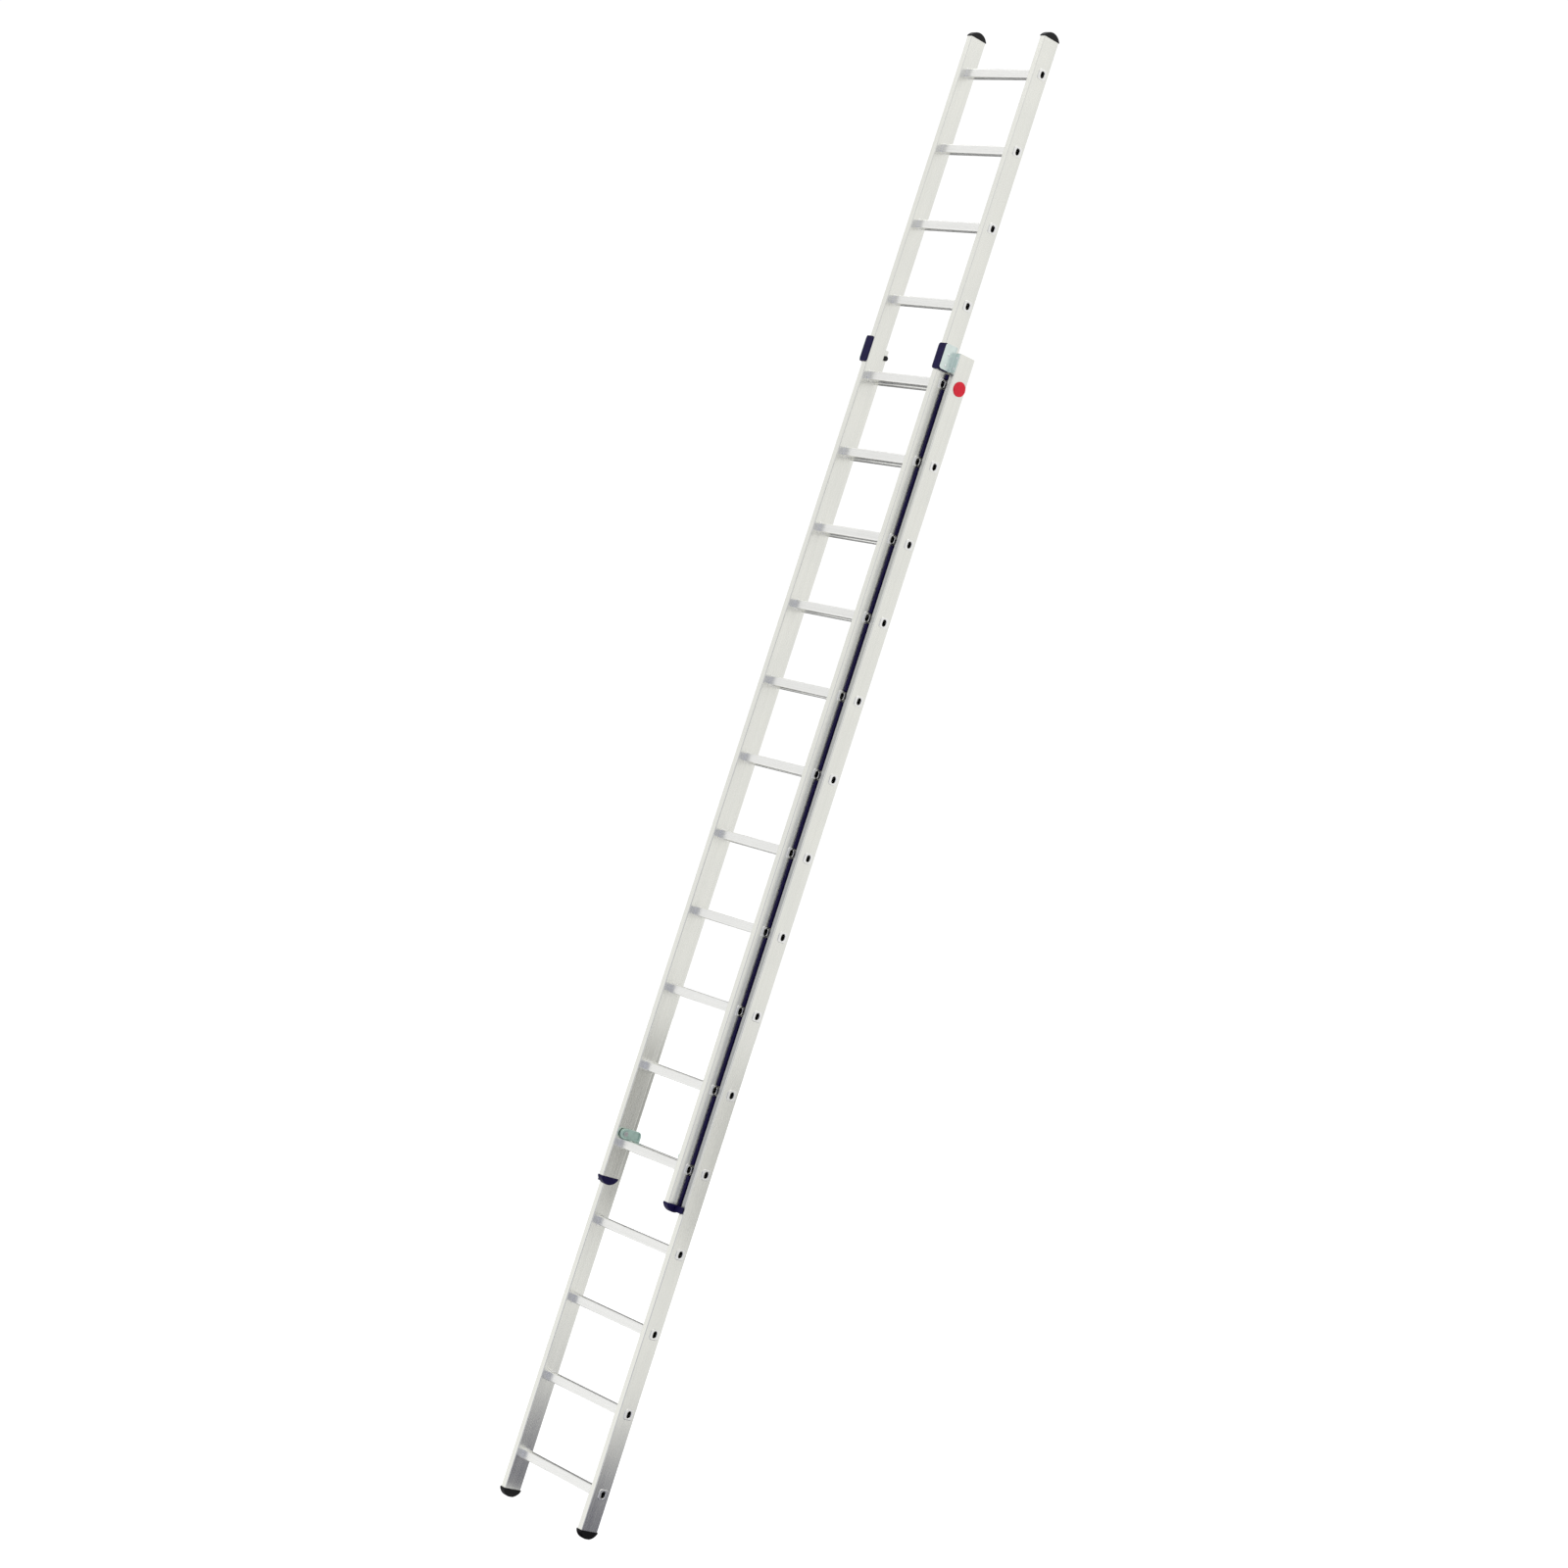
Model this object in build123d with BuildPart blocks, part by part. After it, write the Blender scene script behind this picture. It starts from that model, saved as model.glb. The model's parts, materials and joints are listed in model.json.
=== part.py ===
from build123d import *
import math
import os

# Two-section extension ladder, millimetres.
# +Z runs up the stiles from the soles of the feet, -Y is the side that is climbed,
# +X is the right-hand side of a person who faces the ladder.
# The fly (upper section) slides in front of the base, between the guide brackets.

# ---- driving dimensions ----------------------------------------------------------
rung_pitch = 280.0
rungs_per_section = 15
rest_extension = 4 * rung_pitch      # how far the fly stands above its closed place
lowest_rung_height = 156.0           # centre of the lowest base rung above the soles

stile_width = 25.0
stile_depth = 70.0
stile_wall = 1.8
stile_corner = 4.0
base_width = 480.0                   # over the base stiles
fly_width = 402.0                    # over the fly stiles
fly_forward = 46.0                   # the fly's front face ahead of the base's
rung_setback = 41.5                  # rung centre behind its section's front face

base_stile_below = 136.0             # lowest rung centre to the stile's end
base_stile_above = 114.0
fly_stile_below = 132.0
fly_stile_above = 130.0

rung_size = 31.0
rung_wall = 2.0
rung_corner = 4.0
rib_grooves = 5
rib_groove_width = 1.8
rib_groove_depth = 0.7
rib_groove_spacing = 4.4
flare_size = 37.0
flare_corner = 9.0
flare_height = 2.5
mouth_width = 16.0                   # opening left in a rung's closed-in end
mouth_height = 24.0
mouth_lip = 4.5                      # depth of the closed-in end
rung_hole_clearance = 0.1

cap_dome = 20.0
cap_insert_length = 32.0
cap_insert_wall = 2.2
foot_skirt = 8.0
foot_proud = 1.5
foot_tip_trim = 1.2                  # taken off the foot's dome, for a flat sole
fly_cap_skirt = 4.0
fly_cap_proud = 1.2

pad_height = 92.0
pad_top_above_stile = 18.0
pad_thickness = 4.5
pad_gap = 2.0                        # pad to the fly's front face
bracket_thickness = 2.5
bracket_front_step = 1.5             # bracket's front edge behind the pad's
bracket_bottom_step = 3.0            # bracket's bottom edge above the pad's
bracket_side_gap = 11.0              # bracket's inner side to the fly's outer face
pad_side_gap = 4.0
pad_side_length = 36.0

strip_thickness = 8.0
strip_width = 21.5
strip_setback = 44.5                 # behind the fly's front face

hook_thickness = 12.0
hook_radius = 18.0
hook_pivot_setback = 29.0            # behind the fly's front face
hook_pivot_above_rung = 34.0
hook_reach = 69.0                    # pivot to the tip of the nose
hook_spacer = 3.0
pin_radius = 5.0
pin_clearance = 0.05

rivet_radius = 2.4
rivet_clearance = 0.05

# ---- derived places ---------------------------------------------------------------
# The frame's origin is centred in the overall depth, so the base's front face is offset.
front_reach = fly_forward + pad_gap + pad_thickness
rear_reach = stile_depth + foot_proud
base_front = (front_reach - rear_reach) / 2
fly_front = base_front - fly_forward
base_half = base_width / 2
fly_half = fly_width / 2

base_rung_heights = [lowest_rung_height + i * rung_pitch for i in range(rungs_per_section)]
fly_rung_heights = [height + rest_extension for height in base_rung_heights]
base_bottom = base_rung_heights[0] - base_stile_below
base_top = base_rung_heights[-1] + base_stile_above
fly_bottom = fly_rung_heights[0] - fly_stile_below
fly_top = fly_rung_heights[-1] + fly_stile_above

pad_top = base_top + pad_top_above_stile
pad_bottom = pad_top - pad_height

os.makedirs("parts", exist_ok=True)


def save(builder, name):
    """Label a finished piece and write it as its own STEP file."""
    builder.part.label = name
    export_step(builder.part, f"parts/{name}.step")


def mirror_if_left(side):
    """Pieces are drawn on the right; the left one is their mirror image."""
    if side == "left":
        mirror(about=Plane.YZ, mode=Mode.REPLACE)


# ---- stiles -----------------------------------------------------------------------
def make_stile(name, side, half_width, front, bottom, top, rung_heights, drill_points=()):
    """Box-section stile with a hole for every rung, and any small round holes.

    drill_points holds (plane, radius) pairs; each hole runs through one wall.
    """
    centre_x = half_width - stile_width / 2
    centre_y = front + stile_depth / 2
    with BuildPart() as stile:
        with BuildSketch(Plane.XY.offset(bottom)):
            with Locations((centre_x, centre_y)):
                RectangleRounded(stile_width, stile_depth, stile_corner)
                RectangleRounded(
                    stile_width - 2 * stile_wall,
                    stile_depth - 2 * stile_wall,
                    stile_corner - stile_wall,
                    mode=Mode.SUBTRACT,
                )
        extrude(amount=top - bottom)
        hole_size = rung_size + 2 * rung_hole_clearance
        with BuildSketch(Plane.YZ.offset(half_width - stile_width)):
            with Locations([(front + rung_setback, height) for height in rung_heights]):
                RectangleRounded(hole_size, hole_size, rung_corner)
        extrude(amount=stile_width, mode=Mode.SUBTRACT)
        for plane, radius in drill_points:
            with BuildSketch(plane):
                Circle(radius)
            extrude(amount=2 * stile_wall, both=True, mode=Mode.SUBTRACT)
        mirror_if_left(side)
    save(stile, name)


# ---- rungs ------------------------------------------------------------------------
def rung_outline():
    """Ribbed square tube: grooves along all four faces of a rounded square."""
    RectangleRounded(rung_size, rung_size, rung_corner)
    groove_centres = [
        (i - (rib_grooves - 1) / 2) * rib_groove_spacing for i in range(rib_grooves)
    ]
    edge = rung_size / 2
    with Locations([(side * edge, c) for side in (-1, 1) for c in groove_centres]):
        Rectangle(2 * rib_groove_depth, rib_groove_width, mode=Mode.SUBTRACT)
    with Locations([(c, side * edge) for side in (-1, 1) for c in groove_centres]):
        Rectangle(rib_groove_width, 2 * rib_groove_depth, mode=Mode.SUBTRACT)


def rung_blank(half_width, front):
    """Hollow rung at height 0: beads on both sides of each stile, ends closed in to a slot."""
    centre = (front + rung_setback, 0)
    bore = rung_size - 2 * rung_wall
    bore_corner = rung_corner - rung_wall / 2
    bead_starts = [
        half_width,
        half_width - stile_width - flare_height,
        -half_width - flare_height,
        -half_width + stile_width,
    ]
    with BuildPart() as rung:
        with BuildSketch(Plane.YZ.offset(-half_width)):
            with Locations(centre):
                rung_outline()
        extrude(amount=2 * half_width)
        for start in bead_starts:
            with BuildSketch(Plane.YZ.offset(start)):
                with Locations(centre):
                    RectangleRounded(flare_size, flare_size, flare_corner)
            extrude(amount=flare_height)
        outer_rims = [
            rung.faces().sort_by(Axis.X)[end].outer_wire().edges() for end in (0, -1)
        ]
        fillet(outer_rims[0] + outer_rims[1], radius=flare_height * 0.6)
        with BuildSketch(Plane.YZ.offset(mouth_lip - half_width - flare_height)):
            with Locations(centre):
                RectangleRounded(bore, bore, bore_corner)
        extrude(amount=2 * (half_width + flare_height - mouth_lip), mode=Mode.SUBTRACT)
        with BuildSketch(Plane.YZ.offset(-half_width - flare_height)):
            with Locations(centre):
                SlotOverall(mouth_height, mouth_width, rotation=90)
        extrude(amount=2 * (half_width + flare_height), mode=Mode.SUBTRACT)
        mouth_edges = [
            rung.faces().sort_by(Axis.X)[end].inner_wires()[0].edges() for end in (0, -1)
        ]
        chamfer(mouth_edges[0] + mouth_edges[1], length=rung_wall * 0.6)
    return rung.part


def make_rungs(section, blank, heights):
    """One rung at each height, numbered from the bottom."""
    for number, height in enumerate(heights, start=1):
        with BuildPart() as rung:
            with Locations((0, 0, height)):
                add(blank)
        save(rung, f"{section}_rung_{number:02d}")


# ---- end caps ---------------------------------------------------------------------
def domed_cap(centre_x, front, end_height, outward, skirt, proud, tip_trim):
    """Add the domed shell of a moulding over a stile's end to the part being drawn.

    outward is +1 above a stile and -1 below it.
    """
    width = stile_width + 2 * proud
    depth = stile_depth + 2 * proud
    centre_y = front + stile_depth / 2
    rim = end_height - outward * skirt
    with BuildSketch(Plane.YZ.offset(centre_x - width / 2)) as profile:
        with BuildLine():
            Line((centre_y - depth / 2, rim), (centre_y - depth / 2, end_height))
            ThreePointArc(
                (centre_y - depth / 2, end_height),
                (centre_y, end_height + outward * (cap_dome + tip_trim)),
                (centre_y + depth / 2, end_height),
            )
            Line((centre_y + depth / 2, end_height), (centre_y + depth / 2, rim))
            Line((centre_y + depth / 2, rim), (centre_y - depth / 2, rim))
        make_face()
    cap = extrude(profile.sketch, amount=width)
    fillet(cap.edges().filter_by(GeomType.CIRCLE), radius=stile_corner)


def stile_section(centre_x, front, height, inset):
    """Rounded rectangle of a stile's outline, drawn smaller by inset on every side."""
    with BuildSketch(Plane.XY.offset(height)) as section:
        with Locations((centre_x, front + stile_depth / 2)):
            RectangleRounded(
                stile_width - 2 * inset,
                stile_depth - 2 * inset,
                max(stile_corner - inset, 1.0),
            )
    return section.sketch


def cap_socket(centre_x, front, end_height, outward, skirt):
    """Cut the stile's own room out of the skirt and add the insert inside the stile."""
    inward = -outward
    outline = stile_section(centre_x, front, end_height, 0)
    extrude(outline, amount=inward * (skirt + stile_wall), mode=Mode.SUBTRACT)
    insert_inset = stile_wall + rung_hole_clearance
    insert = stile_section(centre_x, front, end_height, insert_inset)
    extrude(insert, amount=inward * cap_insert_length)
    hollow = stile_section(centre_x, front, end_height, insert_inset + cap_insert_wall)
    extrude(hollow, amount=inward * cap_insert_length, mode=Mode.SUBTRACT)


def make_foot(side):
    """Base foot: domed sole with a small flat and a row of tread grooves."""
    centre_x = base_half - stile_width / 2
    centre_y = base_front + stile_depth / 2
    groove_width = 2.5
    groove_depth = 2.0
    grooves = 4
    groove_spacing = 4 * groove_width
    with BuildPart() as foot:
        domed_cap(centre_x, base_front, base_bottom, -1, foot_skirt, foot_proud, foot_tip_trim)
        with BuildSketch(Plane.XY):
            with Locations((centre_x, centre_y)):
                Rectangle(2 * stile_width, 2 * stile_depth)
        extrude(amount=-cap_dome, mode=Mode.SUBTRACT)
        with BuildSketch(Plane.XY):
            with Locations((centre_x, centre_y)):
                with GridLocations(0, groove_spacing, 1, grooves):
                    Rectangle(2 * stile_width, groove_width)
        extrude(amount=groove_depth, mode=Mode.SUBTRACT)
        cap_socket(centre_x, base_front, base_bottom, -1, foot_skirt)
        mirror_if_left(side)
    save(foot, f"{side}_foot")


def make_fly_top_cap(side):
    """Plain domed cap on top of a fly stile."""
    centre_x = fly_half - stile_width / 2
    with BuildPart() as cap:
        domed_cap(centre_x, fly_front, fly_top, 1, fly_cap_skirt, fly_cap_proud, 0)
        cap_socket(centre_x, fly_front, fly_top, 1, fly_cap_skirt)
        mirror_if_left(side)
    save(cap, f"fly_{side}_top_cap")


def make_guide_shoe(side):
    """Fly bottom cap with a lug that runs along the base stile's front face."""
    centre_x = fly_half - stile_width / 2
    lug_reach = base_half - 1.0
    lug_root = fly_half - 5.0
    lug_thickness = 10.0
    lug_gap = 3.0
    lug_above = 7.0
    lug_below = 15.0
    lug_corner = 3.0
    with BuildPart() as shoe:
        domed_cap(centre_x, fly_front, fly_bottom, -1, foot_skirt, fly_cap_proud, 0)
        with BuildSketch(Plane.XY.offset(fly_bottom - lug_below)):
            with Locations(((lug_root + lug_reach) / 2, base_front - lug_gap - lug_thickness / 2)):
                RectangleRounded(lug_reach - lug_root, lug_thickness, lug_corner)
        extrude(amount=lug_above + lug_below)
        cap_socket(centre_x, fly_front, fly_bottom, -1, foot_skirt)
        mirror_if_left(side)
    save(shoe, f"{side}_guide_shoe")


def make_end_plug(side):
    """Hollow plug in the open top of a base stile, just below the rim."""
    centre_x = base_half - stile_width / 2
    plug_depth = 12.0
    plug_recess = 1.0
    plug_floor = 3.0
    plug_inset = stile_wall + rung_hole_clearance
    plug_top = base_top - plug_recess
    with BuildPart() as plug:
        extrude(stile_section(centre_x, base_front, plug_top, plug_inset), amount=-plug_depth)
        hollow = stile_section(
            centre_x, base_front, plug_top - plug_floor, plug_inset + cap_insert_wall
        )
        extrude(hollow, amount=-plug_depth, mode=Mode.SUBTRACT)
        mirror_if_left(side)
    save(plug, f"{side}_end_plug")


# ---- top guide --------------------------------------------------------------------
bracket_inner = fly_half + bracket_side_gap
bracket_edge_inset = 1.0             # flange edge inside the base stile's outer face
rivet_edge_distance = 18.0
bracket_outer_edge = base_half - bracket_edge_inset
flange_rivet_x = base_half - stile_width / 2 + bracket_edge_inset
rivet_heights = (pad_bottom + rivet_edge_distance, base_top - rivet_edge_distance)
side_rivet_y = fly_front + rivet_edge_distance


def flange_rivet_planes():
    """Planes on the bracket's flange, one for each rivet, facing the climber."""
    return [
        Plane((flange_rivet_x, base_front - bracket_thickness, height), x_dir=(1, 0, 0), z_dir=(0, -1, 0))
        for height in rivet_heights
    ]


def side_rivet_planes():
    """Planes on the bracket's side web, one for each rivet, facing outward."""
    return [
        Plane((bracket_inner + bracket_thickness, side_rivet_y, height), x_dir=(0, 1, 0), z_dir=(1, 0, 0))
        for height in rivet_heights
    ]


def make_guide_bracket(side):
    """Bent plate: a web beside the fly stile and a flange on the base stile's front."""
    bend_radius = 4.0
    corner_radius = 8.0
    edge_cut = 1.0
    web_front = fly_front - pad_gap - pad_thickness + bracket_front_step
    bracket_bottom = pad_bottom + bracket_bottom_step
    bracket_height = pad_height - bracket_bottom_step
    flange_top = base_top - 2.0
    with BuildPart() as bracket:
        with BuildSketch(Plane.XY.offset(bracket_bottom)):
            with BuildLine():
                Polyline(
                    (bracket_inner, web_front),
                    (bracket_inner + bracket_thickness, web_front),
                    (bracket_inner + bracket_thickness, base_front - bracket_thickness),
                    (bracket_outer_edge, base_front - bracket_thickness),
                    (bracket_outer_edge, base_front),
                    (bracket_inner, base_front),
                    close=True,
                )
            bend = make_face()
            inner_bend = bend.vertices().group_by(Axis.Y)[-2].sort_by(Axis.X)[0]
            outer_bend = bend.vertices().group_by(Axis.Y)[-1].sort_by(Axis.X)[0]
            fillet(inner_bend, radius=bend_radius - bracket_thickness)
            fillet(outer_bend, radius=bend_radius)
        extrude(amount=bracket_height)
        with BuildSketch(Plane.XZ.offset(-base_front - edge_cut)):
            with Locations((bracket_inner + bend_radius, flange_top)):
                Rectangle(base_half, pad_height, align=(Align.MIN, Align.MIN))
        extrude(amount=2 * edge_cut + bracket_thickness, mode=Mode.SUBTRACT)
        web_corners = bracket.edges().filter_by(Axis.X).group_by(Axis.Y)[0]
        fillet(web_corners, radius=corner_radius)
        flange_corners = bracket.edges().filter_by(Axis.Y).group_by(Axis.X)[-1]
        fillet(flange_corners, radius=corner_radius)
        for plane in flange_rivet_planes() + side_rivet_planes():
            with BuildSketch(plane):
                Circle(rivet_radius + rivet_clearance)
            extrude(amount=-2 * bracket_thickness, both=True, mode=Mode.SUBTRACT)
        mirror_if_left(side)
    save(bracket, f"{side}_guide_bracket")


def make_guide_pad(side):
    """Moulded guide: wraps round the front and the outer side of the fly stile."""
    inner_overhang = 2.0
    outer_corner = 5.0
    end_corner = 9.0
    soft_edge = 1.5
    blind_rivet_depth = 5.5
    pad_front = fly_front - pad_gap - pad_thickness
    with BuildPart() as pad:
        with BuildSketch(Plane.XY.offset(pad_bottom)):
            with BuildLine():
                Polyline(
                    (fly_half - stile_width - inner_overhang, pad_front),
                    (bracket_inner, pad_front),
                    (bracket_inner, fly_front + pad_side_length),
                    (fly_half + pad_side_gap, fly_front + pad_side_length),
                    (fly_half + pad_side_gap, fly_front - pad_gap),
                    (fly_half - stile_width - inner_overhang, fly_front - pad_gap),
                    close=True,
                )
            make_face()
        extrude(amount=pad_height)
        front_corner = pad.edges().filter_by(Axis.Z).group_by(Axis.Y)[0].sort_by(Axis.X)[-1]
        fillet(front_corner, radius=outer_corner)
        end_edges = pad.edges().filter_by(Axis.Y).group_by(Axis.X)[0]
        fillet(end_edges, radius=end_corner)
        fillet(pad.faces().sort_by(Axis.Y)[0].outer_wire().edges(), radius=soft_edge)
        for plane in side_rivet_planes():
            with BuildSketch(plane):
                Circle(rivet_radius + rivet_clearance)
            extrude(amount=-(bracket_thickness + blind_rivet_depth), mode=Mode.SUBTRACT)
        mirror_if_left(side)
    save(pad, f"{side}_guide_pad")


def rivet(plane, shank_length, tail):
    """Add a dome-head rivet on a plane; the shank runs back into the work."""
    head_radius = 2 * rivet_radius
    head_height = 0.7 * rivet_radius
    dome_radius = (head_radius**2 + head_height**2) / (2 * head_height)
    half_angle = math.asin(head_radius / dome_radius) / 2
    tail_radius = 1.35 * rivet_radius
    shank_foot = [(0, -shank_length), (rivet_radius, -shank_length)]
    if tail:
        shank_foot = [
            (0, -shank_length),
            (tail_radius, -shank_length),
            (tail_radius, -shank_length + rivet_radius),
            (rivet_radius, -shank_length + rivet_radius),
        ]
    profile_plane = Plane(plane.origin, x_dir=plane.x_dir, z_dir=-plane.y_dir)
    with BuildSketch(profile_plane) as profile:
        with BuildLine():
            Polyline((0, head_height), *shank_foot, (rivet_radius, 0), (head_radius, 0))
            ThreePointArc(
                (head_radius, 0),
                (dome_radius * math.sin(half_angle), head_height - dome_radius * (1 - math.cos(half_angle))),
                (0, head_height),
            )
        make_face()
    revolve(profile.sketch, axis=Axis(plane.origin, plane.z_dir))


def make_bracket_rivets(side):
    """Two rivets through the bracket's flange and two into the pad."""
    tail_gap = 0.2
    pad_grip = 5.0
    wall_grip = bracket_thickness + stile_wall + rivet_radius + tail_gap
    with BuildPart() as rivets:
        for plane in flange_rivet_planes():
            rivet(plane, wall_grip, tail=True)
        for plane in side_rivet_planes():
            rivet(plane, bracket_thickness + pad_grip, tail=False)
        mirror_if_left(side)
    save(rivets, f"{side}_bracket_rivets")


# ---- small pieces on the base -------------------------------------------------------
stop_stud_y = base_front + 61.0
stop_stud_height = base_top - 28.0
stop_stud_radius = 9.0
stop_stud_length = 8.0
stop_stud_shank = 3.0
stop_stud_edge = 3.0
stop_stud_depth = 4.0


def stop_stud_plane():
    """Plane on the base stile's inner face, facing the middle of the ladder."""
    return Plane(
        (base_half - stile_width, stop_stud_y, stop_stud_height), x_dir=(0, 1, 0), z_dir=(-1, 0, 0)
    )


def make_stop_stud(side):
    """Rubber stop stud pushed into the inner wall of the base stile."""
    with BuildPart() as stud:
        with BuildSketch(stop_stud_plane()):
            Circle(stop_stud_radius)
        extrude(amount=stop_stud_length)
        fillet(stud.faces().sort_by(Axis.X)[0].edges(), radius=stop_stud_edge)
        with BuildSketch(stop_stud_plane()):
            Circle(stop_stud_shank)
        extrude(amount=-(stile_wall + stop_stud_depth))
        mirror_if_left(side)
    save(stud, f"{side}_stop_stud")


def make_rung_end_cover():
    """Plain round cover over the outer end of the base's top rung, right side."""
    cover_radius = 26.0
    cover_thickness = 0.8
    fit_clearance = 0.4
    plug_wall = 2.0
    plug_reach = 6.0
    plug_height = mouth_height - fit_clearance
    plug_width = mouth_width - fit_clearance
    centre = (base_front + rung_setback, base_rung_heights[-1])
    with BuildPart() as cover:
        with BuildSketch(Plane.YZ.offset(base_half)):
            with Locations(centre):
                Circle(cover_radius)
        extrude(amount=flare_height + cover_thickness)
        fillet(cover.faces().sort_by(Axis.X)[-1].edges(), radius=cover_thickness)
        with BuildSketch(Plane.YZ.offset(base_half)):
            with Locations(centre):
                RectangleRounded(flare_size + fit_clearance, flare_size + fit_clearance, flare_corner)
        extrude(amount=flare_height, mode=Mode.SUBTRACT)
        with BuildSketch(Plane.YZ.offset(base_half + flare_height)):
            with Locations(centre):
                SlotOverall(plug_height, plug_width, rotation=90)
                SlotOverall(
                    plug_height - 2 * plug_wall, plug_width - 2 * plug_wall, rotation=90, mode=Mode.SUBTRACT
                )
        extrude(amount=-plug_reach)
    save(cover, "rung_end_cover")


# ---- glide strips -------------------------------------------------------------------
def make_glide_strip(side):
    """Glide strip on the fly stile's outer face, cut away round each rung bead."""
    bead_clearance = 1.5
    outer_edge = 2.0
    bead_room = flare_size + 2 * bead_clearance
    shoe_gap = 0.5
    pad_clearance = 4.0
    bottom = fly_bottom + foot_skirt + shoe_gap
    top = pad_bottom - pad_clearance
    bead_heights = [height for height in fly_rung_heights if height < top + bead_room]
    with BuildPart() as strip:
        with BuildSketch(Plane.XY.offset(bottom)):
            with Locations((fly_half, fly_front + strip_setback)):
                Rectangle(strip_thickness, strip_width, align=(Align.MIN, Align.MIN))
        extrude(amount=top - bottom)
        outer_edges = strip.edges().filter_by(Axis.Z).group_by(Axis.X)[-1]
        fillet(outer_edges, radius=outer_edge)
        with BuildSketch(Plane.YZ.offset(fly_half)):
            with Locations([(fly_front + rung_setback, height) for height in bead_heights]):
                RectangleRounded(bead_room, bead_room, flare_corner + bead_clearance)
        extrude(amount=strip_thickness, mode=Mode.SUBTRACT)
        mirror_if_left(side)
    save(strip, f"{side}_glide_strip")


# ---- rung hooks ---------------------------------------------------------------------
pivot_y = fly_front + hook_pivot_setback
pivot_height = fly_rung_heights[0] + hook_pivot_above_rung
hook_outer_x = fly_half - stile_width - hook_spacer


def make_rung_hook(side):
    """Swinging hook: a round head on the pivot pin and a nose over a base rung."""
    nose_corner = 16.0
    nose_tip_corner = 4.0
    pocket_depth = 2.5
    pocket_corner = 7.0
    rim = 5.0
    soft_edge = 1.5
    inner_x = hook_outer_x - hook_thickness
    with BuildPart() as hook:
        with BuildSketch(Plane.YZ.offset(inner_x)) as outline:
            with Locations((pivot_y, pivot_height)):
                Circle(hook_radius)
                Rectangle(hook_reach, 2 * hook_radius, align=(Align.MIN, Align.CENTER))
            nose = outline.vertices().group_by(Axis.X)[-1].sort_by(Axis.Y)
            fillet(nose[-1], radius=nose_corner)
            fillet(nose[0], radius=nose_tip_corner)
        extrude(amount=hook_thickness)
        fillet(hook.faces().sort_by(Axis.X)[0].outer_wire().edges(), radius=soft_edge)
        pocket_start = pivot_y + hook_radius
        pocket_length = hook_reach - hook_radius - nose_corner / 2
        with BuildSketch(Plane.YZ.offset(inner_x)):
            with Locations((pocket_start + pocket_length / 2, pivot_height)):
                RectangleRounded(pocket_length, 2 * (hook_radius - rim), pocket_corner)
        extrude(amount=pocket_depth, mode=Mode.SUBTRACT)
        with BuildSketch(Plane.YZ.offset(inner_x)):
            with Locations((pivot_y, pivot_height)):
                Circle(pin_radius + pin_clearance)
        extrude(amount=hook_thickness, mode=Mode.SUBTRACT)
        mirror_if_left(side)
    save(hook, f"{side}_rung_hook")


pin_shank_radius = 4.0


def make_hook_pin(side):
    """Shoulder pin of the hook: spacer, journal, flat head, and a shank in the stile."""
    face_x = fly_half - stile_width
    head_radius = 8.5
    head_thickness = 2.5
    end_play = 0.4
    shank_grip = 3.0
    head_edge = 1.0
    journal_end = hook_outer_x - hook_thickness - end_play
    steps = [
        (face_x + stile_wall + shank_grip, face_x, pin_shank_radius),
        (face_x, hook_outer_x + end_play / 2, head_radius),
        (hook_outer_x + end_play / 2, journal_end, pin_radius),
        (journal_end, journal_end - head_thickness, head_radius),
    ]
    with BuildPart() as pin:
        for start, end, radius in steps:
            with BuildSketch(Plane.YZ.offset(end)):
                with Locations((pivot_y, pivot_height)):
                    Circle(radius)
            extrude(amount=start - end)
        fillet(pin.faces().sort_by(Axis.X)[0].edges(), radius=head_edge)
        mirror_if_left(side)
    save(pin, f"{side}_hook_pin")


# ---- build --------------------------------------------------------------------------
wall_rivet_planes = [
    Plane((flange_rivet_x, base_front, height), x_dir=(1, 0, 0), z_dir=(0, -1, 0))
    for height in rivet_heights
]
base_drills = [(plane, rivet_radius + rivet_clearance) for plane in wall_rivet_planes]
base_drills.append((stop_stud_plane(), stop_stud_shank + rivet_clearance))
pin_wall_plane = Plane(
    (fly_half - stile_width, pivot_y, pivot_height), x_dir=(0, 1, 0), z_dir=(1, 0, 0)
)
fly_drills = [(pin_wall_plane, pin_shank_radius + rivet_clearance)]

for side in ("left", "right"):
    make_stile(
        f"base_{side}_stile", side, base_half, base_front, base_bottom, base_top,
        base_rung_heights, base_drills,
    )
    make_stile(
        f"fly_{side}_stile", side, fly_half, fly_front, fly_bottom, fly_top,
        fly_rung_heights, fly_drills,
    )
    make_foot(side)
    make_end_plug(side)
    make_guide_bracket(side)
    make_guide_pad(side)
    make_bracket_rivets(side)
    make_stop_stud(side)
    make_fly_top_cap(side)
    make_guide_shoe(side)
    make_glide_strip(side)
    make_rung_hook(side)
    make_hook_pin(side)

make_rungs("base", rung_blank(base_half, base_front), base_rung_heights)
make_rungs("fly", rung_blank(fly_half, fly_front), fly_rung_heights)
make_rung_end_cover()
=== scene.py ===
import json
import math

import bpy
from mathutils import Matrix, Vector

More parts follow.
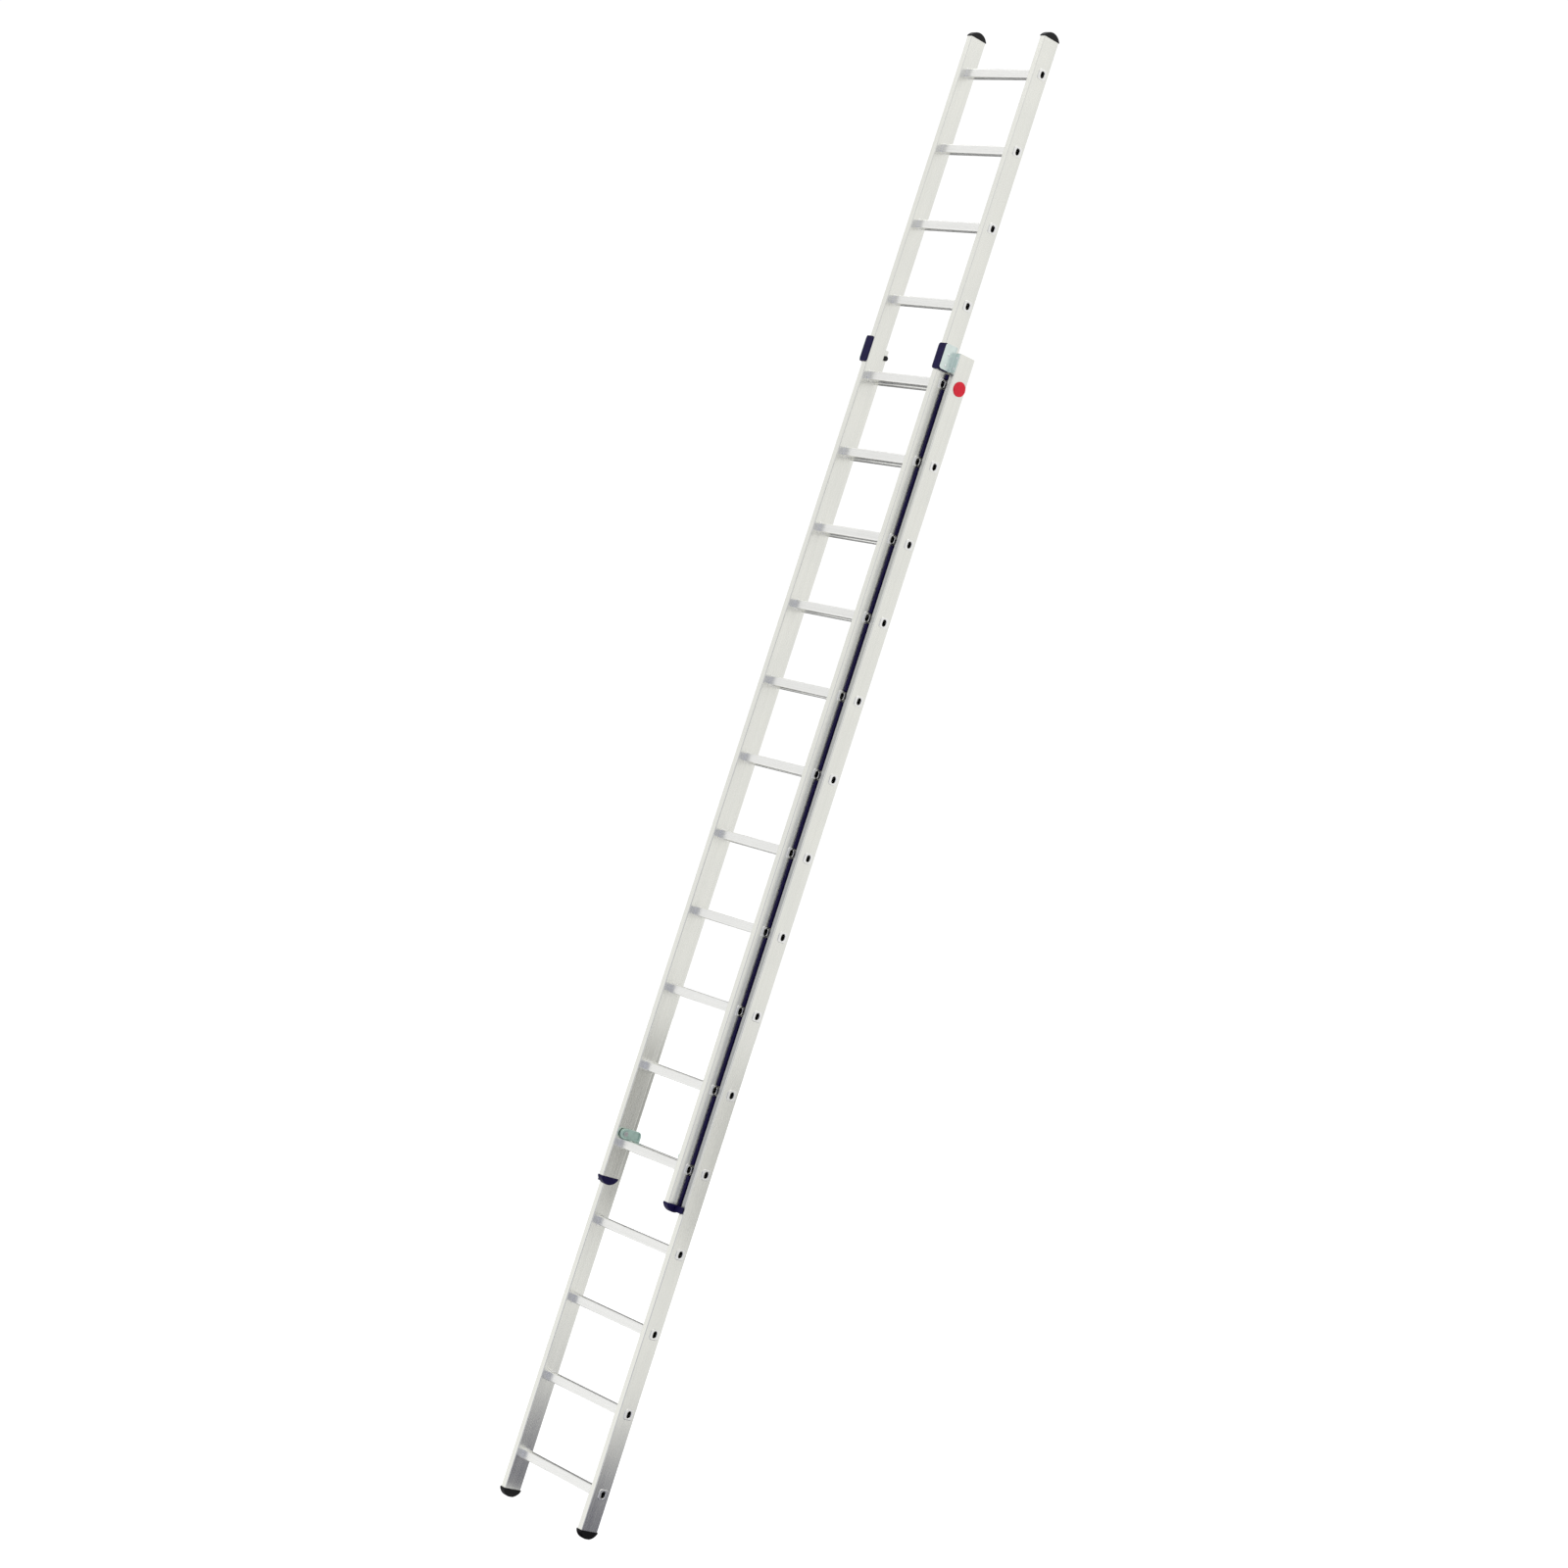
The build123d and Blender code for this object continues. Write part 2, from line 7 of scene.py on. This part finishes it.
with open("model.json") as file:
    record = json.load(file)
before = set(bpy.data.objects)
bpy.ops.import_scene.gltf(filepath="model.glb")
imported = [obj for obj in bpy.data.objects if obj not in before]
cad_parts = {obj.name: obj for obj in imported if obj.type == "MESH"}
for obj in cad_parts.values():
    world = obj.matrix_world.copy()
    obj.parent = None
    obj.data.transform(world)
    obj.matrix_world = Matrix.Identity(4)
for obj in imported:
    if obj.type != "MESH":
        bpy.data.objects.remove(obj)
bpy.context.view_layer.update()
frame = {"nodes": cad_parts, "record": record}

nodes = frame["nodes"]

# Lengths are in metres, angles in degrees, light powers in watts. Colours are linear.

# ---- the view --------------------------------------------------------------------------
# The camera stands in front of the ladder and to its right, at about head height, and is
# rolled so that the upright ladder leans to the right in the picture.
CAMERA_PLACE = Vector((9.377, -7.793, 1.992))
CAMERA_AZIMUTH = 50.16
CAMERA_PITCH = 2.95
CAMERA_ROLL = 17.91
CAMERA_REACH = 500.0
LENS_MM = 81.7
SENSOR_MM = 36.0

# ---- the floor and the backdrop --------------------------------------------------------
FLOOR_RADIUS = 90.0
FLOOR_COLOUR = (0.2, 0.2, 0.2)
BACKDROP_RADIUS = 85.0
BACKDROP_COLOUR = (0.0, 0.0, 0.0)
STAGE_GLOW = 1.05

# ---- the cards -------------------------------------------------------------------------
# Bright metal shows what stands round it. These two shade its wide faces, the first near
# the feet and the second just above the bottom of the fly.
FLOOR_CARD_RADIUS = 1.25
FLOOR_CARD_PLACE = (0.62, 1.15, 0.002)
FLOOR_CARD_COLOUR = (0.16, 0.16, 0.20)
SIDE_CARD_PLACE = (0.91, 0.99, 1.27)
SIDE_CARD_WIDTH = 0.5
SIDE_CARD_HEIGHT = 0.68
SIDE_CARD_COLOUR = (0.36, 0.36, 0.35)

# ---- the world -------------------------------------------------------------------------
# An edge is where one part of the world fades into the next, as two cosines of the angle
# from the middle of the second part.
SKY = (0.84, 0.84, 0.84)
LOW_RIGHT = (0.80, 0.80, 0.80)
LOW_LEFT = (1.0, 1.0, 1.0)
BEHIND_CAMERA = (0.40, 0.41, 0.50)
BEHIND_LADDER = (0.10, 0.10, 0.11)
SKY_EDGE = (-0.3, 0.1)
LEFT_EDGE = (-0.3, 0.3)
PATCH_EDGE = (0.8, 0.97)
CAMERA_PATCH_DROP = 0.25

# ---- the lights ------------------------------------------------------------------------
LIGHT_TARGET = (0.0, 0.0, 2.6)
SOFTBOX_SIZE = 5.0
KEY_PLACE = (-5.0, -6.0, 11.0)
KEY_POWER = 160.0
FILL_PLACE = (6.0, 3.0, 11.0)
FILL_POWER = 90.0

# ---- colours of the metal, each with its cloudier tone ---------------------------------
STILE_PALE = (0.920, 0.920, 0.860)
STILE_DUSKY = (0.885, 0.887, 0.835)
RUNG_PALE = (0.955, 0.955, 0.935)
RUNG_DUSKY = (0.925, 0.925, 0.905)
SHEET_PALE = (0.81, 0.91, 0.87)
SHEET_DUSKY = (0.75, 0.84, 0.81)
CAST_PALE = (0.52, 0.69, 0.63)
CAST_DUSKY = (0.44, 0.59, 0.54)

# Sockets of the colour mix node, which repeats its socket names for each data type.
MIX_FIRST = 6
MIX_SECOND = 7
MIX_RESULT = 2


def add_camera():
    """Camera at the fitted place, azimuth, pitch and roll."""
    azimuth = math.radians(CAMERA_AZIMUTH)
    pitch = math.radians(CAMERA_PITCH)
    roll = math.radians(CAMERA_ROLL)
    forward = Vector((
        -math.sin(azimuth) * math.cos(pitch),
        math.cos(azimuth) * math.cos(pitch),
        math.sin(pitch),
    ))
    level_right = Vector((math.cos(azimuth), math.sin(azimuth), 0.0))
    level_up = level_right.cross(forward)
    right = level_right * math.cos(roll) + level_up * math.sin(roll)
    up = level_up * math.cos(roll) - level_right * math.sin(roll)
    data = bpy.data.cameras.new("main_camera")
    data.sensor_width = SENSOR_MM
    data.lens = LENS_MM
    data.clip_end = CAMERA_REACH
    camera = bpy.data.objects.new("main_camera", data)
    turn = Matrix((right, up, -forward)).transposed().to_4x4()
    camera.matrix_world = Matrix.Translation(CAMERA_PLACE) @ turn
    bpy.context.scene.collection.objects.link(camera)
    bpy.context.scene.camera = camera


# ---- node helpers ----------------------------------------------------------------------
class Graph:
    """A node tree under construction."""

    def __init__(self, tree):
        self.tree = tree

    def add(self, kind):
        return self.tree.nodes.new(kind)

    def link(self, output, socket):
        self.tree.links.new(output, socket)

    def spread(self, value, low, high, to_low=0.0, to_high=1.0, kind="LINEAR"):
        """Map the range low..high of value to to_low..to_high, clamped."""
        mapping = self.add("ShaderNodeMapRange")
        mapping.interpolation_type = kind
        mapping.inputs["From Min"].default_value = low
        mapping.inputs["From Max"].default_value = high
        mapping.inputs["To Min"].default_value = to_low
        mapping.inputs["To Max"].default_value = to_high
        self.link(value, mapping.inputs["Value"])
        return mapping.outputs["Result"]

    def blend(self, factor, first, second):
        """Mix two colours; each is a tuple or another node's output."""
        mix = self.add("ShaderNodeMix")
        mix.data_type = "RGBA"
        self.link(factor, mix.inputs["Factor"])
        for colour, socket in ((first, mix.inputs[MIX_FIRST]), (second, mix.inputs[MIX_SECOND])):
            if isinstance(colour, tuple):
                socket.default_value = (*colour, 1.0)
            else:
                self.link(colour, socket)
        return mix.outputs[MIX_RESULT]


class Shader(Graph):
    """A material under construction: its node tree, and its principled shader."""

    def __init__(self, name, metallic=0.0, specular=0.5):
        self.material = bpy.data.materials.new(name)
        self.material.use_nodes = True
        super().__init__(self.material.node_tree)
        self.principled = self.tree.nodes["Principled BSDF"]
        self.principled.inputs["Metallic"].default_value = metallic
        self.principled.inputs["Specular IOR Level"].default_value = specular
        self.coordinates = self.add("ShaderNodeTexCoord").outputs["Object"]
        self.bumps = []

    def stretched(self, scale):
        """Object coordinates multiplied by scale, one number for each axis."""
        mapping = self.add("ShaderNodeMapping")
        mapping.inputs["Scale"].default_value = scale
        self.link(self.coordinates, mapping.inputs["Vector"])
        return mapping.outputs["Vector"]

    def noise(self, scale, detail=3.0, rough=0.5):
        """Noise on stretched object coordinates; the result runs from 0 to 1."""
        texture = self.add("ShaderNodeTexNoise")
        texture.inputs["Scale"].default_value = 1.0
        texture.inputs["Detail"].default_value = detail
        texture.inputs["Roughness"].default_value = rough
        self.link(self.stretched(scale), texture.inputs["Vector"])
        return texture.outputs["Fac"]

    def speckle(self, scale):
        """Distance to the nearest of scattered points, for pits."""
        texture = self.add("ShaderNodeTexVoronoi")
        texture.inputs["Scale"].default_value = 1.0
        self.link(self.stretched(scale), texture.inputs["Vector"])
        return texture.outputs["Distance"]

    def height(self):
        """Height above the floor, in metres."""
        separate = self.add("ShaderNodeSeparateXYZ")
        self.link(self.coordinates, separate.inputs["Vector"])
        return separate.outputs["Z"]

    def multiply(self, first, second):
        maths = self.add("ShaderNodeMath")
        maths.operation = "MULTIPLY"
        self.link(first, maths.inputs[0])
        self.link(second, maths.inputs[1])
        return maths.outputs["Value"]

    def colour(self, output):
        self.link(output, self.principled.inputs["Base Color"])

    def roughness(self, output):
        self.link(output, self.principled.inputs["Roughness"])

    def bump(self, value, strength, distance):
        """Add one layer of bump on top of those already there."""
        bump = self.add("ShaderNodeBump")
        bump.inputs["Strength"].default_value = strength
        bump.inputs["Distance"].default_value = distance
        self.link(value, bump.inputs["Height"])
        if self.bumps:
            self.link(self.bumps[-1].outputs["Normal"], bump.inputs["Normal"])
        self.bumps.append(bump)
        self.link(bump.outputs["Normal"], self.principled.inputs["Normal"])


def even(scale):
    """One scale on all three axes."""
    return (scale, scale, scale)


def along(axis, fine, coarse):
    """Scales for a pattern drawn out along one axis."""
    return tuple(coarse if letter == axis else fine for letter in "XYZ")


def shaded(colour, amount):
    """The colour made darker by a factor."""
    return tuple(amount * channel for channel in colour)


# ---- materials -------------------------------------------------------------------------
# Noise scales are in waves per metre. Roughness is given as a range, or as one value that
# the material's own pattern spreads by a few hundredths.
def extruded_aluminium(name, axis, base, tint, rough):
    """Satin extrusion: die lines along one axis, faint clouds, rub marks and scratches."""
    shader = Shader(name, metallic=1.0)
    die_lines = shader.noise(along(axis, fine=620.0, coarse=1.1), detail=4.0, rough=0.65)
    wide_lines = shader.noise(along(axis, fine=90.0, coarse=0.35), detail=2.0)
    clouds = shader.noise(even(7.0), detail=4.0, rough=0.6)
    rubbed = shader.noise(along(axis, fine=40.0, coarse=1.6), detail=4.0, rough=0.6)
    crossing = shader.noise(along(axis, fine=84.0, coarse=1260.0), detail=2.0)
    scratches = shader.spread(crossing, 0.66, 0.72)
    dull = shaded(base, 0.93)
    body = shader.blend(shader.spread(clouds, 0.35, 0.65), base, tint)
    body = shader.blend(shader.spread(wide_lines, 0.42, 0.7, to_high=0.55), body, dull)
    shader.colour(shader.blend(shader.spread(die_lines, 0.5, 0.8, to_high=0.5), body, dull))
    smooth = shader.spread(rubbed, 0.3, 0.75, rough - 0.03, rough + 0.05)
    lined = shader.spread(die_lines, 0.25, 0.75, 0.85, 1.15)
    shader.roughness(shader.multiply(smooth, lined))
    shader.bump(die_lines, strength=0.12, distance=0.0004)
    shader.bump(scratches, strength=0.05, distance=0.0003)
    return shader.material


def bracket_sheet(name, base, tint):
    """Sheet aluminium: short brushed lines and faint clouds."""
    shader = Shader(name, metallic=1.0)
    brushed = shader.noise(along("Z", fine=900.0, coarse=14.0), detail=3.0, rough=0.7)
    clouds = shader.noise(even(30.0), detail=4.0)
    shader.colour(shader.blend(shader.spread(clouds, 0.3, 0.7), base, tint))
    shader.roughness(shader.spread(brushed, 0.2, 0.8, 0.28, 0.46))
    shader.bump(brushed, strength=0.15, distance=0.0003)
    return shader.material


def cast_metal(name, base, tint):
    """Cast aluminium: grainy, pitted skin with faint clouds."""
    shader = Shader(name, metallic=1.0)
    grain = shader.noise(even(700.0), detail=5.0, rough=0.7)
    pits = shader.speckle(even(420.0))
    clouds = shader.noise(even(60.0), detail=3.0)
    shader.colour(shader.blend(shader.spread(clouds, 0.35, 0.65), base, tint))
    shader.roughness(shader.spread(grain, 0.3, 0.7, 0.36, 0.55))
    shader.bump(grain, strength=0.35, distance=0.0006)
    shader.bump(pits, strength=0.15, distance=0.0004)
    return shader.material


def fastener_metal(name, bright, dark, rough):
    """Small bright fastener with handling marks."""
    shader = Shader(name, metallic=1.0)
    marks = shader.noise(even(500.0), detail=4.0, rough=0.7)
    shader.colour(shader.blend(shader.spread(marks, 0.35, 0.7), bright, dark))
    shader.roughness(shader.spread(marks, 0.3, 0.7, rough - 0.07, rough + 0.1))
    shader.bump(marks, strength=0.1, distance=0.0002)
    return shader.material


def moulded_plastic(name, base, worn, rough, specular):
    """Moulded plastic: spark-eroded grain, faint clouds and paler scuffs."""
    shader = Shader(name, specular=specular)
    grain = shader.noise(even(1500.0), detail=3.0, rough=0.6)
    clouds = shader.noise(even(45.0), detail=4.0)
    rubs = shader.noise(along("Z", fine=260.0, coarse=90.0), detail=6.0, rough=0.75)
    scuffs = shader.spread(rubs, 0.6, 0.74)
    body = shader.blend(shader.spread(clouds, 0.35, 0.65), base, shaded(base, 0.75))
    shader.colour(shader.blend(shader.multiply(scuffs, clouds), body, worn))
    shader.roughness(shader.spread(grain, 0.3, 0.7, rough - 0.07, rough + 0.08))
    shader.bump(grain, strength=0.3, distance=0.0002)
    return shader.material


def foot_rubber(name, base, dusted):
    """Black rubber: fine grain, dusty towards the sole."""
    dust_top = 0.024
    shader = Shader(name, specular=0.2)
    grain = shader.noise(even(1100.0), detail=4.0, rough=0.7)
    dust = shader.noise(even(190.0), detail=6.0, rough=0.75)
    low = shader.spread(shader.height(), 0.0, dust_top, 1.0, 0.15)
    dusty = shader.multiply(shader.spread(dust, 0.45, 0.75, to_high=0.5), low)
    shader.colour(shader.blend(dusty, base, dusted))
    shader.roughness(shader.spread(grain, 0.3, 0.7, 0.55, 0.75))
    shader.bump(grain, strength=0.35, distance=0.0003)
    return shader.material


def gloss_cover(name, base, tint):
    """Smooth bright plastic with faint flow marks."""
    shader = Shader(name, specular=0.25)
    flow = shader.noise(even(80.0), detail=3.0)
    fine = shader.noise(even(900.0), detail=2.0)
    shader.colour(shader.blend(shader.spread(flow, 0.35, 0.65), base, tint))
    shader.roughness(shader.spread(fine, 0.3, 0.7, 0.28, 0.4))
    shader.bump(fine, strength=0.08, distance=0.0002)
    return shader.material


def make_materials():
    """One material for each slot of the CAD record."""
    return {
        "stile_aluminium": extruded_aluminium(
            "stile_aluminium", axis="Z", base=STILE_PALE, tint=STILE_DUSKY, rough=0.26
        ),
        "rung_aluminium": extruded_aluminium(
            "rung_aluminium", axis="X", base=RUNG_PALE, tint=RUNG_DUSKY, rough=0.27
        ),
        "bracket_aluminium": bracket_sheet("bracket_aluminium", SHEET_PALE, SHEET_DUSKY),
        "rivet_aluminium": fastener_metal(
            "rivet_aluminium", bright=(0.86, 0.87, 0.88), dark=(0.70, 0.71, 0.73), rough=0.3
        ),
        "pin_steel": fastener_metal(
            "pin_steel", bright=(0.70, 0.70, 0.71), dark=(0.52, 0.52, 0.54), rough=0.28
        ),
        "cast_aluminium": cast_metal("cast_aluminium", CAST_PALE, CAST_DUSKY),
        "foot_rubber": foot_rubber(
            "foot_rubber", base=(0.006, 0.006, 0.007), dusted=(0.05, 0.048, 0.045)
        ),
        "stud_rubber": moulded_plastic(
            "stud_rubber",
            base=(0.012, 0.012, 0.014), worn=(0.05, 0.05, 0.05), rough=0.6, specular=0.25,
        ),
        "black_plastic": moulded_plastic(
            "black_plastic",
            base=(0.006, 0.006, 0.008), worn=(0.05, 0.05, 0.054), rough=0.38, specular=0.25,
        ),
        # Navy plastic of the guide pads. The same dark navy on the glide strip along the fly's
        # stiles is partly painted shade: it stands for the shadow in the gap between the fly and
        # the base.
        "navy_plastic": moulded_plastic(
            "navy_plastic",
            base=(0.010, 0.006, 0.060), worn=(0.06, 0.05, 0.15), rough=0.42, specular=0.12,
        ),
        "red_plastic": gloss_cover(
            "red_plastic", base=(0.86, 0.020, 0.045), tint=(0.74, 0.016, 0.038)
        ),
    }


def dress_nodes():
    """Give every CAD node the material of its slot."""
    materials = make_materials()
    for entry in frame["record"]["subparts"]:
        mesh = nodes[entry["node"]].data
        mesh.materials.clear()
        mesh.materials.append(materials[entry["material_slot"]])


# ---- studio ----------------------------------------------------------------------------
def matte(name, colour, glow=0.0):
    """Plain matte surface, which may give off white light."""
    shader = Shader(name, specular=0.0)
    shader.principled.inputs["Base Color"].default_value = (*colour, 1.0)
    shader.principled.inputs["Roughness"].default_value = 1.0
    shader.principled.inputs["Emission Color"].default_value = (1.0, 1.0, 1.0, 1.0)
    shader.principled.inputs["Emission Strength"].default_value = glow
    return shader.material


def add_floor():
    """Large pale disc at the height of the soles, as white as the backdrop."""
    bpy.ops.mesh.primitive_circle_add(vertices=96, radius=FLOOR_RADIUS, fill_type="NGON")
    floor = bpy.context.object
    floor.name = "floor"
    floor.data.materials.append(matte("floor_white", FLOOR_COLOUR, STAGE_GLOW))
    floor.visible_glossy = False
    floor.visible_diffuse = False


def add_backdrop():
    """White backdrop on every side, seen by the camera only, so that it lights nothing."""
    bpy.ops.mesh.primitive_uv_sphere_add(segments=64, ring_count=32, radius=BACKDROP_RADIUS)
    drum = bpy.context.object
    drum.name = "backdrop"
    drum.data.materials.append(matte("backdrop_white", BACKDROP_COLOUR, STAGE_GLOW))
    drum.visible_diffuse = False
    drum.visible_glossy = False
    drum.visible_transmission = False
    drum.visible_volume_scatter = False
    drum.visible_shadow = False


def finish_card(card, name, material):
    """Name and paint a card that the camera doesn't see and that casts no shadow."""
    card.name = name
    card.data.materials.append(material)
    card.visible_camera = False
    card.visible_shadow = False


def add_floor_card():
    """Dark round card lying on the floor, behind the ladder on its right."""
    bpy.ops.mesh.primitive_circle_add(
        vertices=64, radius=FLOOR_CARD_RADIUS, fill_type="NGON", location=FLOOR_CARD_PLACE
    )
    finish_card(bpy.context.object, "floor_card", matte("card_dark", FLOOR_CARD_COLOUR))


def add_side_card():
    """Grey upright card behind the ladder on its right, square to what the stiles mirror."""
    turn = (math.radians(90.0), 0.0, -math.radians(CAMERA_AZIMUTH))
    bpy.ops.mesh.primitive_plane_add(size=1.0, location=SIDE_CARD_PLACE, rotation=turn)
    card = bpy.context.object
    card.scale = (SIDE_CARD_WIDTH, SIDE_CARD_HEIGHT, 1.0)
    finish_card(card, "side_card", matte("side_card_grey", SIDE_CARD_COLOUR))


def add_world():
    """White all round; dimmer behind the camera, dark straight behind the ladder."""
    world = bpy.data.worlds.new("studio")
    bpy.context.scene.world = world
    world.use_nodes = True
    graph = Graph(world.node_tree)
    direction = graph.add("ShaderNodeTexCoord").outputs["Generated"]

    def towards(vector, edge):
        """How far a direction lies past an edge, towards a vector: from 0 to 1."""
        dot = graph.add("ShaderNodeVectorMath")
        dot.operation = "DOT_PRODUCT"
        dot.inputs[1].default_value = vector
        graph.link(direction, dot.inputs[0])
        return graph.spread(dot.outputs["Value"], *edge, kind="SMOOTHSTEP")

    azimuth = math.radians(CAMERA_AZIMUTH)
    sideways = math.sin(azimuth)
    onward = math.cos(azimuth)
    up = (0.0, 0.0, 1.0)
    left_front = (-sideways, -onward, 0.0)
    past_ladder = (-sideways, onward, 0.0)
    past_camera = Vector((sideways, -onward, -CAMERA_PATCH_DROP)).normalized()
    below = graph.blend(towards(left_front, LEFT_EDGE), LOW_RIGHT, LOW_LEFT)
    around = graph.blend(towards(up, SKY_EDGE), below, SKY)
    around = graph.blend(towards(past_ladder, PATCH_EDGE), around, BEHIND_LADDER)
    around = graph.blend(towards(past_camera, PATCH_EDGE), around, BEHIND_CAMERA)
    graph.link(around, graph.tree.nodes["Background"].inputs["Color"])


def add_softbox(name, place, power):
    """Large square area light, aimed at the middle of the ladder."""
    data = bpy.data.lights.new(name, "AREA")
    data.shape = "RECTANGLE"
    data.size = SOFTBOX_SIZE
    data.size_y = SOFTBOX_SIZE
    data.energy = power
    light = bpy.data.objects.new(name, data)
    light.location = place
    aim = Vector(LIGHT_TARGET) - Vector(place)
    light.rotation_euler = aim.to_track_quat("-Z", "Y").to_euler()
    bpy.context.scene.collection.objects.link(light)


def add_lights():
    """A high key from the left front, and a weaker fill from high on the right."""
    add_softbox("key_light", KEY_PLACE, KEY_POWER)
    add_softbox("fill_light", FILL_PLACE, FILL_POWER)


add_camera()
add_world()
add_floor()
add_floor_card()
add_side_card()
add_backdrop()
add_lights()
dress_nodes()
bpy.context.scene.view_settings.view_transform = "Standard"
bpy.context.scene.view_settings.look = "None"
